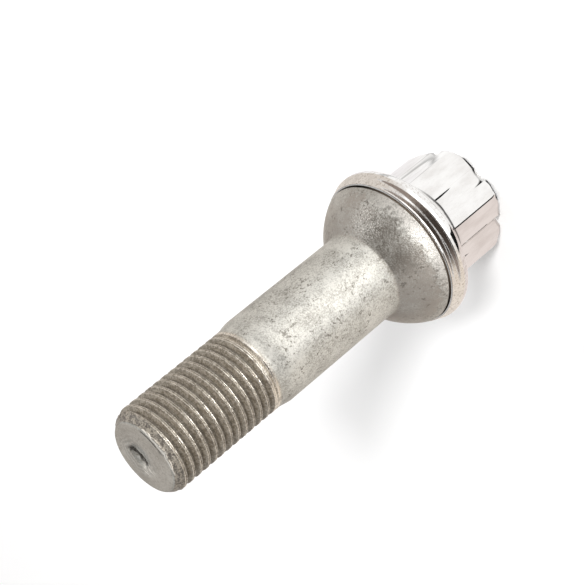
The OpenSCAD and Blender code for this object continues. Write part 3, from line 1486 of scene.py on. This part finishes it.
    def thread_marks(self, s: Shader, colour: Socket, worn: Socket, down: Socket) -> Socket:
        """Brown thread with painted shade in its roots, dark chamfer and worn crests.

        Args:
            s: The material.
            colour: The colour so far.
            worn: Wear on the crests.
            down: Distance below the tip.

        Returns:
            The colour with the thread.
        """
        tone = s.plus(s.noise(self.fine), s.noise(self.grain))
        thread = s.mix(s.fade(tone, self.thread_tone), self.thread, self.thread_grain)
        # painted shade: the thread's roots are darkened
        root = s.times(s.fade_mm(s.radius, self.root_shade_radius), s.fade_mm(down, self.root_shade_down))
        thread = s.mix(s.times(root, self.root_shade_share), thread, self.stain)
        rolled = s.mix(s.fade(tone, self.chamfer_tone), self.chamfer, self.thread_grain)
        thread = s.mix(s.fade_mm(down, self.chamfer_down), thread, rolled)
        thread = s.mix(worn, thread, self.crest)
        open_face = s.math("MAXIMUM", s.fade_mm(down, self.face_edge_down),
                           s.fade_mm(s.radius, self.face_radius))
        share = s.times(s.fade_mm(s.height, self.thread_height), s.math("SUBTRACT", 1.0, open_face))
        return s.mix(share, colour, thread)

    def edge_marks(self, s: Shader, colour: Socket, down: Socket) -> Socket:
        """Bright burr on the tip's edge, the duller face and a painted shadow at the burr's foot.

        Args:
            s: The material.
            colour: The colour so far.
            down: Distance below the tip.

        Returns:
            The colour with the marks.
        """
        burr = s.times(s.fade_mm(self.over_cone(s), self.cone_burr), s.fade_mm(down, self.burr_down),
                       s.fade_mm(s.radius, self.burr_radius))
        colour = s.mix(burr, colour, self.crest)
        colour = s.mix(s.fade_mm(down, self.face_down), colour, self.face)
        # painted shadow: a dark jagged line at the burr's foot, on its front side
        jagged = s.plus(s.radius, s.fade(s.noise(self.grain), self.burr_shadow_grain))
        foot = s.times(s.fade_mm(jagged, self.burr_shadow_radius), s.fade_mm(s.radius, self.burr_shadow_limit),
                       s.fade(s.toward(self.burr_shadow_azimuth), self.burr_shadow_facing),
                       s.fade_mm(down, self.burr_shadow_down))
        return s.mix(foot, colour, self.crease_shade)

    def tip_marks(self, s: Shader, colour: Socket, down: Socket) -> Socket:
        """Painted shade in and round the torn fold, a swirl of fine lines and bright streaks beside the dish.

        Args:
            s: The material.
            colour: The colour so far.
            down: Distance below the tip.

        Returns:
            The colour with the marks.
        """
        top, dish = self.bolt.top_z, self.bolt.dish
        vector, distance = s.away((*dish.fold_place, top))
        x, y, _ = s.split(vector)
        cosine, sine = math.cos(math.radians(dish.fold_turn)), math.sin(math.radians(dish.fold_turn))
        along = s.math("ABSOLUTE", s.plus(s.times(x, cosine), s.times(y, sine)))
        across = s.plus(s.times(x, -sine), s.times(y, cosine),
                        s.fade(s.noise(self.fold_wander), self.fold_edge))
        across = s.math("ABSOLUTE", across)
        on_tip = s.fade_mm(down, self.tip_down)

        def patch(of: TipPatch) -> Socket:
            """Strength of a patch over the fold."""
            return s.times(s.fade_mm(across, of.across), s.fade_mm(along, of.along), on_tip,
                           s.fade(s.noise(self.fine), of.grain))

        # painted shade: brown patch round the torn fold
        colour = s.mix(patch(self.shade), colour, self.thread)
        tear_shade = patch(self.tear_shade)
        swirl = s.node("ShaderNodeTexWave", wave_type="RINGS", rings_direction="SPHERICAL")
        s.feed(vector, swirl.inputs["Vector"])
        for name, value in self.swirl:
            swirl.inputs[name].default_value = value
        lines = swirl.outputs["Fac"]
        on_tip = s.times(on_tip, s.fade_mm(distance, self.swirl_reach))
        colour = s.mix(s.times(s.fade(lines, self.swirl_dark), on_tip), colour, self.dark)
        light = s.times(s.fade(lines, self.swirl_light), on_tip, s.fade_mm(down, self.swirl_light_down))
        colour = s.mix(light, colour, self.light)
        near = s.fade_mm(s.away((*self.streak_place, top))[1], self.streak_reach)
        streaks = s.times(s.fade(s.noise(self.streaks), self.streak), near, on_tip)
        colour = s.mix(streaks, colour, self.crest)
        # painted shade: near-black inside the torn fold
        return s.mix(tear_shade, colour, self.crease_shade)

    def make(self) -> bpy.types.Material:
        """Builds the material.

        Returns:
            The finished material.
        """
        s = Shader("zinc_flake_coating")
        down = s.math("SUBTRACT", self.bolt.top_z * MM, s.height)
        worn = self.worn_crests(s)
        colour = self.seat_marks(s, self.plain(s))
        colour = self.seat_grains(s, colour)
        colour = self.thread_marks(s, colour, worn, down)
        colour = self.edge_marks(s, colour, down)
        colour = self.tip_marks(s, colour, down)
        s.feed(self.painted_seam_shade(s, colour), s.surface.inputs["Base Color"])
        s.feed(s.fade(worn, self.metal), s.surface.inputs["Metallic"])
        rough = s.fade(s.noise(self.grain), self.roughness)
        rough = s.math("SUBTRACT", rough, s.times(worn, self.crest_polish))
        s.feed(rough, s.surface.inputs["Roughness"])
        relief = s.bump(s.noise(self.clouds), *self.cloud_relief)
        relief = s.bump(s.noise(self.grain), s.fade(worn, self.grain_relief), self.grain_step, relief)
        relief = s.bump(s.noise(self.fine), *self.fine_relief, relief)
        s.feed(relief, s.surface.inputs["Normal"])
        return s.material


@dataclass(frozen=True)
class PolishedSheetFinish:
    """Bright polished sheet with a faint draw waviness, hair scratches and a painted dark reflection in the
    fold at the hexagon's foot.
    """

    bright: tuple = (0.86, 0.85, 0.835, 1.0)
    dull: tuple = (0.74, 0.72, 0.70, 1.0)
    speck: tuple = (0.40, 0.34, 0.29, 1.0)
    # painted dark reflection in the fold at the hexagon's foot
    fold_dark_reflection: tuple = (0.03, 0.026, 0.024, 1.0)
    waves: Grain = Grain(160.0, 2.0, 0.5, (1.0, 1.0, 0.5))
    smears: Grain = Grain(420.0, 4.0, 0.6, (1.0, 1.0, 0.35), 0.4)
    hair: Grain = Grain(2600.0, 2.0, 0.5, (1.0, 1.0, 0.12), 0.9)
    specks: Grain = Grain(2600.0, 4.0, 0.7, shift=0.25)
    smear_tone: Fade = Fade(0.35, 0.7)
    speck_size: Fade = Fade(0.5, 0.66)
    speck_height: Fade = Fade(13.2, 14.6, 0.0, 0.55)
    fold_azimuth: float = -115.0
    fold_facing: Fade = Fade(0.6, 0.93, 0.0, 0.9)
    fold_heights: tuple = (Fade(9.4, 9.8), Fade(12.2, 11.8))
    fold_slopes: tuple = (Fade(-0.02, -0.12), Fade(-0.72, -0.6))
    metallic: float = 1.0
    roughness: Fade = Fade(0.35, 0.75, 0.05, 0.13)
    wave_relief: tuple = (0.25, 0.1)
    hair_relief: tuple = (0.12, 0.008)

    def make(self) -> bpy.types.Material:
        """Builds the material.

        Returns:
            The finished material.
        """
        s = Shader("polished_cap_sheet")
        smears = s.noise(self.smears)
        colour = s.mix(s.fade(smears, self.smear_tone), self.bright, self.dull)
        specks = s.fade(s.noise(self.specks), self.speck_size)
        colour = s.mix(s.times(specks, s.fade_mm(s.height, self.speck_height)), colour, self.speck)
        # painted dark reflection: black in the fold at the hexagon's foot, on its front side
        slope = s.split(s.node("ShaderNodeNewGeometry").outputs["Normal"])[2]
        fold = s.times(*[s.fade(slope, fade) for fade in self.fold_slopes],
                       *[s.fade_mm(s.height, fade) for fade in self.fold_heights],
                       s.fade(s.toward(self.fold_azimuth), self.fold_facing))
        s.feed(s.mix(fold, colour, self.fold_dark_reflection), s.surface.inputs["Base Color"])
        s.surface.inputs["Metallic"].default_value = self.metallic
        s.feed(s.fade(smears, self.roughness), s.surface.inputs["Roughness"])
        relief = s.bump(s.noise(self.waves), *self.wave_relief)
        relief = s.bump(s.noise(self.hair), *self.hair_relief, relief)
        s.feed(relief, s.surface.inputs["Normal"])
        return s.material


@dataclass(frozen=True)
class StudioFloorFinish:
    """Pale matt board."""

    pale: tuple = (0.97, 0.97, 0.97, 1.0)
    grey: tuple = (0.90, 0.90, 0.90, 1.0)
    grain: Grain = Grain(40.0, 3.0, 0.5)
    tone: Fade = Fade(0.3, 0.7, 0.0, 0.04)
    roughness: float = 0.9
    gloss: float = 0.1

    def make(self) -> bpy.types.Material:
        """Builds the material.

        Returns:
            The finished material.
        """
        s = Shader("pale_board")
        tone = s.fade(s.noise(self.grain), self.tone)
        s.feed(s.mix(tone, self.pale, self.grey), s.surface.inputs["Base Color"])
        s.surface.inputs["Roughness"].default_value = self.roughness
        s.surface.inputs["Specular IOR Level"].default_value = self.gloss
        return s.material


@dataclass(frozen=True)
class ReflectorCardFinish:
    """What the polished cap sees beside it: pale boards, a dark gap and a beige card.

    The fourth number of a shade is its share of the full glow. The beige card and the gap
    are wedges that start at the hexagon's front corner.
    """

    card: Card
    glow: float = 4.6
    white: tuple = (1.0, 1.0, 1.0, 0.25)
    lilac: tuple = (0.84, 0.82, 0.83, 0.25)
    grey: tuple = (0.5, 0.5, 0.5, 0.25)
    beige: tuple = (0.78, 0.705, 0.675, 0.25)
    black: tuple = (0.01, 0.01, 0.01, 1.0)
    lamp: tuple = (1.0, 0.985, 0.96, 0.7)
    left: tuple = (0.70, 0.65, 0.6, 0.25)
    right: tuple = (0.83, 0.745, 0.655, 0.25)
    brown: tuple = (0.03, 0.024, 0.02, 1.0)
    corner_place: tuple = (-4.75, -8.2)
    beige_azimuth: float = -198.0
    beige_facing: Fade = Fade(0.72, 0.75)
    gap_azimuth: float = -143.0
    gap_facing: Fade = Fade(0.952, 0.962)
    rim: Fade = Fade(9.2, 8.7)
    end_marks: tuple = ((-81.0, Fade(0.972, 0.985, 0.25, 1.0)), (-117.0, Fade(0.965, 0.98)))
    dark_azimuth: float = -120.0
    dark_facing: Fade = Fade(0.55, 0.95)
    dark_reach: Fade = Fade(85.0, 127.5)

    def sectors(self) -> list:
        """Shades round the card.

        Returns:
            Pairs of the azimuth in degrees and the shade.
        """
        if self.card is Card.NEAR:
            return [
                (-180.0, self.beige), (-148.0, self.beige), (-146.0, self.white), (-30.0, self.white),
                (-20.0, self.grey), (-12.0, self.white), (20.0, self.lilac), (70.0, self.lilac),
                (110.0, self.white), (135.0, self.beige), (180.0, self.beige),
            ]
        return [
            (-180.0, self.right), (-158.0, self.right), (-132.0, self.white), (-112.0, self.lamp),
            (-84.0, self.lamp), (-56.0, self.white), (-30.0, self.left), (100.0, self.left),
            (180.0, self.right),
        ]

    def near_marks(self, s: Shader, colour: Socket) -> Socket:
        """Beige wedge, dark gap and the dark marks under the hexagon's end.

        Args:
            s: The material.
            colour: The colour so far.

        Returns:
            The colour with the marks.
        """
        beyond = s.fade(s.toward(self.beige_azimuth, self.corner_place), self.beige_facing)
        colour = s.mix(beyond, colour, self.beige)
        gap = s.fade(s.toward(self.gap_azimuth, self.corner_place), self.gap_facing)
        colour = s.mix(gap, colour, self.black)
        marks = s.math("MAXIMUM", *[s.fade(s.toward(azimuth), fade) for azimuth, fade in self.end_marks])
        return s.mix(s.times(s.fade_mm(s.radius, self.rim), marks), colour, self.black)

    def far_marks(self, s: Shader, colour: Socket) -> Socket:
        """Dark ground beyond the far card's bright middle, in front.

        Args:
            s: The material.
            colour: The colour so far.

        Returns:
            The colour with the dark ground.
        """
        front = s.fade(s.toward(self.dark_azimuth), self.dark_facing)
        return s.mix(s.times(s.fade_mm(s.radius, self.dark_reach), front), colour, self.brown)

    def make(self) -> bpy.types.Material:
        """Builds the material.

        Returns:
            The finished material.
        """
        s = Shader("reflector_card")
        turn = s.math("ARCTAN2", s.axes[1], s.axes[0])
        ramp = s.node("ShaderNodeValToRGB")
        s.feed(s.plus(s.times(turn, 1.0 / (2.0 * math.pi)), 0.5), ramp.inputs[0])
        stops = ramp.color_ramp.elements
        for index, (azimuth, shade) in enumerate(self.sectors()):
            spot = (azimuth + 180.0) / 360.0
            stop = stops[index] if index < 2 else stops.new(spot)
            stop.position = spot
            stop.color = shade
        marks = self.near_marks if self.card is Card.NEAR else self.far_marks
        glow = s.node("ShaderNodeEmission")
        s.feed(marks(s, ramp.outputs["Color"]), glow.inputs["Color"])
        s.feed(s.times(ramp.outputs["Alpha"], self.glow), glow.inputs["Strength"])
        s.feed(glow.outputs[0], s.output.inputs["Surface"])
        return s.material


@dataclass(frozen=True)
class RoomFinish:
    """Pale light of the room, with a warmer horizon and a dark patch in front."""

    ceiling: tuple = (0.86, 0.87, 0.88, 1.0)
    front_ceiling: tuple = (0.36, 0.35, 0.34, 1.0)
    horizon: tuple = (0.50, 0.42, 0.37, 1.0)
    dark: tuple = (0.085, 0.066, 0.056, 1.0)
    dark_azimuth: float = -114.0
    front: Fade = Fade(-0.25, 0.35)
    horizon_rise: Fade = Fade(0.12, 0.4)
    dark_front: Fade = Fade(0.6, 0.98)
    dark_rise: Fade = Fade(0.34, 0.16)
    strength: float = 0.7

    def make(self) -> bpy.types.World:
        """Builds the room.

        Returns:
            The finished room.
        """
        world = bpy.data.worlds.new("studio_room")
        world.use_nodes = True
        s = Nodes(world.node_tree, "Generated")
        turn = math.radians(self.dark_azimuth)
        toward = s.vector("DOT_PRODUCT", s.place, (math.cos(turn), math.sin(turn), 0.0)).outputs["Value"]
        upper = s.mix(s.fade(toward, self.front), self.ceiling, self.front_ceiling)
        colour = s.mix(s.fade(s.height, self.horizon_rise), self.horizon, upper)
        dark = s.times(s.fade(toward, self.dark_front), s.fade(s.height, self.dark_rise))
        background = s.tree.nodes["Background"]
        s.feed(s.mix(dark, colour, self.dark), background.inputs["Color"])
        background.inputs["Strength"].default_value = self.strength
        return world


@dataclass(frozen=True)
class SoftBox:
    """An area light, with places in millimetres; polish mirrors it only if it is glossy."""

    name: str
    place: tuple
    aim: tuple
    size: tuple
    power: float
    glossy: bool = False

    def build(self) -> None:
        """Builds the light."""
        data = bpy.data.lights.new(self.name, "AREA")
        data.shape = "RECTANGLE"
        data.size, data.size_y = self.size[0] * MM, self.size[1] * MM
        data.energy = self.power
        lamp = bpy.data.objects.new(self.name, data)
        place, aim = Vector(self.place) * MM, Vector(self.aim) * MM
        lamp.location = place
        lamp.rotation_euler = (aim - place).to_track_quat("-Z", "Y").to_euler()
        lamp.visible_camera = False
        lamp.visible_glossy = self.glossy
        bpy.context.collection.objects.link(lamp)


@dataclass(frozen=True)
class Studio:
    """Floor, lights and camera of the picture, with places in millimetres."""

    floor_reach: float = 4000.0
    card_sides: int = 72
    card_lift: float = 0.05
    card_edges: tuple = (8.0, 34.0, 600.0)
    lens: float = 100.3
    sensor: float = 36.0
    clip: tuple = (0.01, 20.0)
    camera_place: tuple = (-34.44, -207.51, 155.09)
    heading: float = 10.7
    pitch: float = -29.73
    roll: float = -128.88
    key_azimuth: float = -84.0
    key_elevation: float = 38.0
    key_spread: float = 13.0
    key_strength: float = 2.4
    boxes: tuple = (
        SoftBox("front_strip", (-32.0, -60.0, 1.0), (-32.0, -60.0, 50.0), (26.0, 44.0), 0.10),
        SoftBox("front_bar", (-126.0, -238.0, 152.0), (0.0, 0.0, 25.0), (260.0, 55.0), 0.35, True),
        SoftBox("left_fill", (330.0, -60.0, 260.0), (0.0, 0.0, 25.0), (200.0, 200.0), 0.8),
    )

    def lay(self, name: str, points: np.ndarray, faces: list, finish: bpy.types.Material) -> bpy.types.Object:
        """Lays one flat piece of the stage.

        Args:
            name: Its name.
            points: Its points, in millimetres.
            faces: Its faces.
            finish: Its material.

        Returns:
            The piece.
        """
        mesh = bpy.data.meshes.new(name)
        mesh.from_pydata((points * MM).tolist(), [], faces)
        mesh.materials.append(finish)
        piece = bpy.data.objects.new(name, mesh)
        bpy.context.collection.objects.link(piece)
        return piece

    def lay_floor(self) -> None:
        """Lays the floor under the part."""
        corners = np.array([(-1, -1, 0), (1, -1, 0), (1, 1, 0), (-1, 1, 0)])
        self.lay("floor", corners * self.floor_reach, [(0, 1, 2, 3)], StudioFloorFinish().make())

    def lay_cards(self) -> None:
        """Lays cards round the head that only the polished sheet and the coating's gloss see."""
        count = self.card_sides
        turns = np.linspace(0.0, 2.0 * math.pi, count, endpoint=False)
        faces = [(j, count + j, count + (j + 1) % count, (j + 1) % count) for j in range(count)]
        for card, inner, outer in zip(Card, self.card_edges, self.card_edges[1:]):
            points = np.vstack([ring(inner, self.card_lift, turns), ring(outer, self.card_lift, turns)])
            piece = self.lay(card.value, points, faces, ReflectorCardFinish(card).make())
            piece.visible_camera = False
            piece.visible_diffuse = False
            piece.visible_shadow = False
            piece.visible_transmission = False

    def hang_lights(self) -> None:
        """Places the lights round the part."""
        for box in self.boxes:
            box.build()
        data = bpy.data.lights.new("key", "SUN")
        data.energy = self.key_strength
        data.angle = math.radians(self.key_spread)
        key = bpy.data.objects.new("key", data)
        turn, rise = math.radians(self.key_azimuth), math.radians(self.key_elevation)
        out = Vector((math.cos(turn) * math.cos(rise), math.sin(turn) * math.cos(rise), math.sin(rise)))
        key.rotation_euler = out.to_track_quat("Z", "Y").to_euler()
        key.visible_glossy = False
        bpy.context.collection.objects.link(key)

    def place_camera(self) -> None:
        """Puts the camera where the photograph was taken from, rolled as it was."""
        data = bpy.data.cameras.new("camera")
        data.lens, data.sensor_width = self.lens, self.sensor
        data.clip_start, data.clip_end = self.clip
        camera = bpy.data.objects.new("camera", data)
        turn = (
            Matrix.Rotation(math.radians(-self.heading), 4, "Z")
            @ Matrix.Rotation(math.radians(90.0 + self.pitch), 4, "X")
            @ Matrix.Rotation(math.radians(self.roll), 4, "Z")
        )
        camera.matrix_world = Matrix.Translation(Vector(self.camera_place) * MM) @ turn
        bpy.context.collection.objects.link(camera)
        bpy.context.scene.camera = camera


def main() -> None:
    """Builds the pieces in order, then the studio round them."""
    logging.basicConfig(level=logging.INFO)
    head = HeadForm()
    forging = Forging(head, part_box(Node.BOLT.value)[1][2] / MM)
    cap = SheetCap(head)
    for part, finish in ((forging, ZincFlakeFinish(forging)), (cap, PolishedSheetFinish())):
        piece = part.build()
        part.dress(piece, finish.make())
        LOG.info("%s: %d faces", piece.name, len(piece.data.polygons))
    studio = Studio()
    studio.lay_floor()
    studio.lay_cards()
    studio.hang_lights()
    bpy.context.scene.world = RoomFinish().make()
    studio.place_camera()
    bpy.context.scene.view_settings.view_transform = "Standard"


if __name__ == "__main__":
    main()
